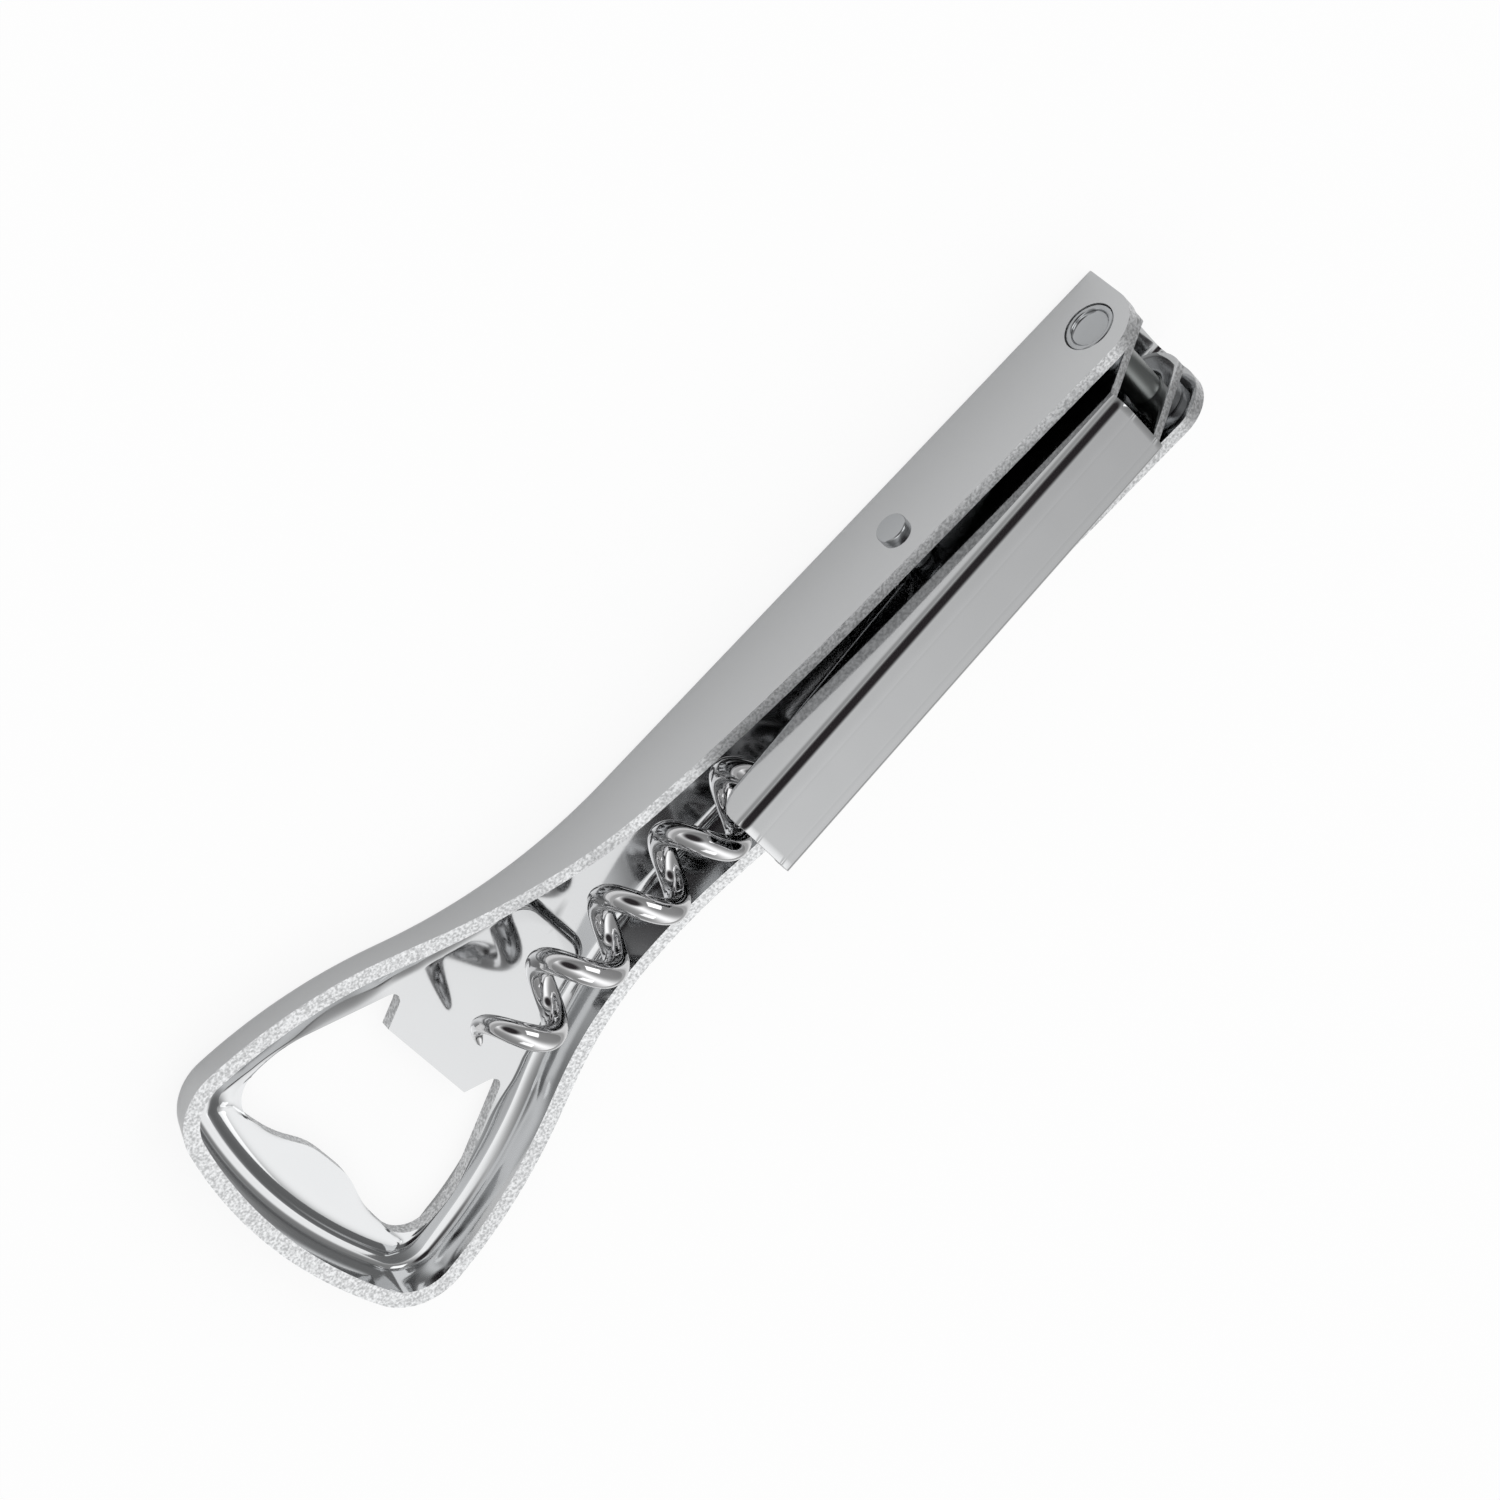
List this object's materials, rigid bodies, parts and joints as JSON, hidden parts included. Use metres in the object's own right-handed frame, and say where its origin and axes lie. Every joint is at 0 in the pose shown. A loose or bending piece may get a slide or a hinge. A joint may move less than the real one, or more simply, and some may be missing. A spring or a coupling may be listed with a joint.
{
  "type": "folding lever corkscrew",
  "caption": "Folding pocket corkscrew in chromed steel: channel handle with a cap-lifter loop, a hinged boot lever and a wire worm that swings out.",
  "frame": {"origin": "middle of the overall length, under it, on the plane of the handle's back", "axes": "+X from the pivot end to the cap-lifter head, +Y across the handle, +Z out of the open side of the channel"},
  "size_m": [0.12, 0.0396, 0.0174],
  "materials": {
    "chromed_handle": "bright chrome plate on pressed steel, dull sheared rims",
    "chromed_lever": "bright chrome plate on pressed steel",
    "plated_wire": "nickel-bright plated steel wire",
    "plated_pin": "plated steel, turned",
    "steel_ring": "plain turned steel"
  },
  "bodies": {
    "frame": {"handle": "chromed_handle", "pivot_rivet": "plated_pin", "worm_pin": "plated_pin", "pivot_washer_near": "steel_ring", "pivot_washer_far": "steel_ring", "worm_sleeve_near": "steel_ring", "worm_sleeve_far": "steel_ring"},
    "lever": {"boot_lever": "chromed_lever"},
    "corkscrew": {"worm": "plated_wire"}
  },
  "joints": [
    {"name": "lever_swing", "type": "hinge", "parent": "frame", "child": "lever", "pos_m": [-0.0557, 0, 0.00653], "axis": [0, -1, 0], "range_deg": [0, 165]},
    {"name": "worm_swing", "type": "hinge", "parent": "frame", "child": "corkscrew", "pos_m": [-0.0293, 0, 0.00655], "axis": [0, -1, 0], "range_deg": [0, 90]}
  ],
  "couplings": [
    {"joint": "worm_swing", "follows": "lever_swing", "ratio": 0.5454}
  ]
}
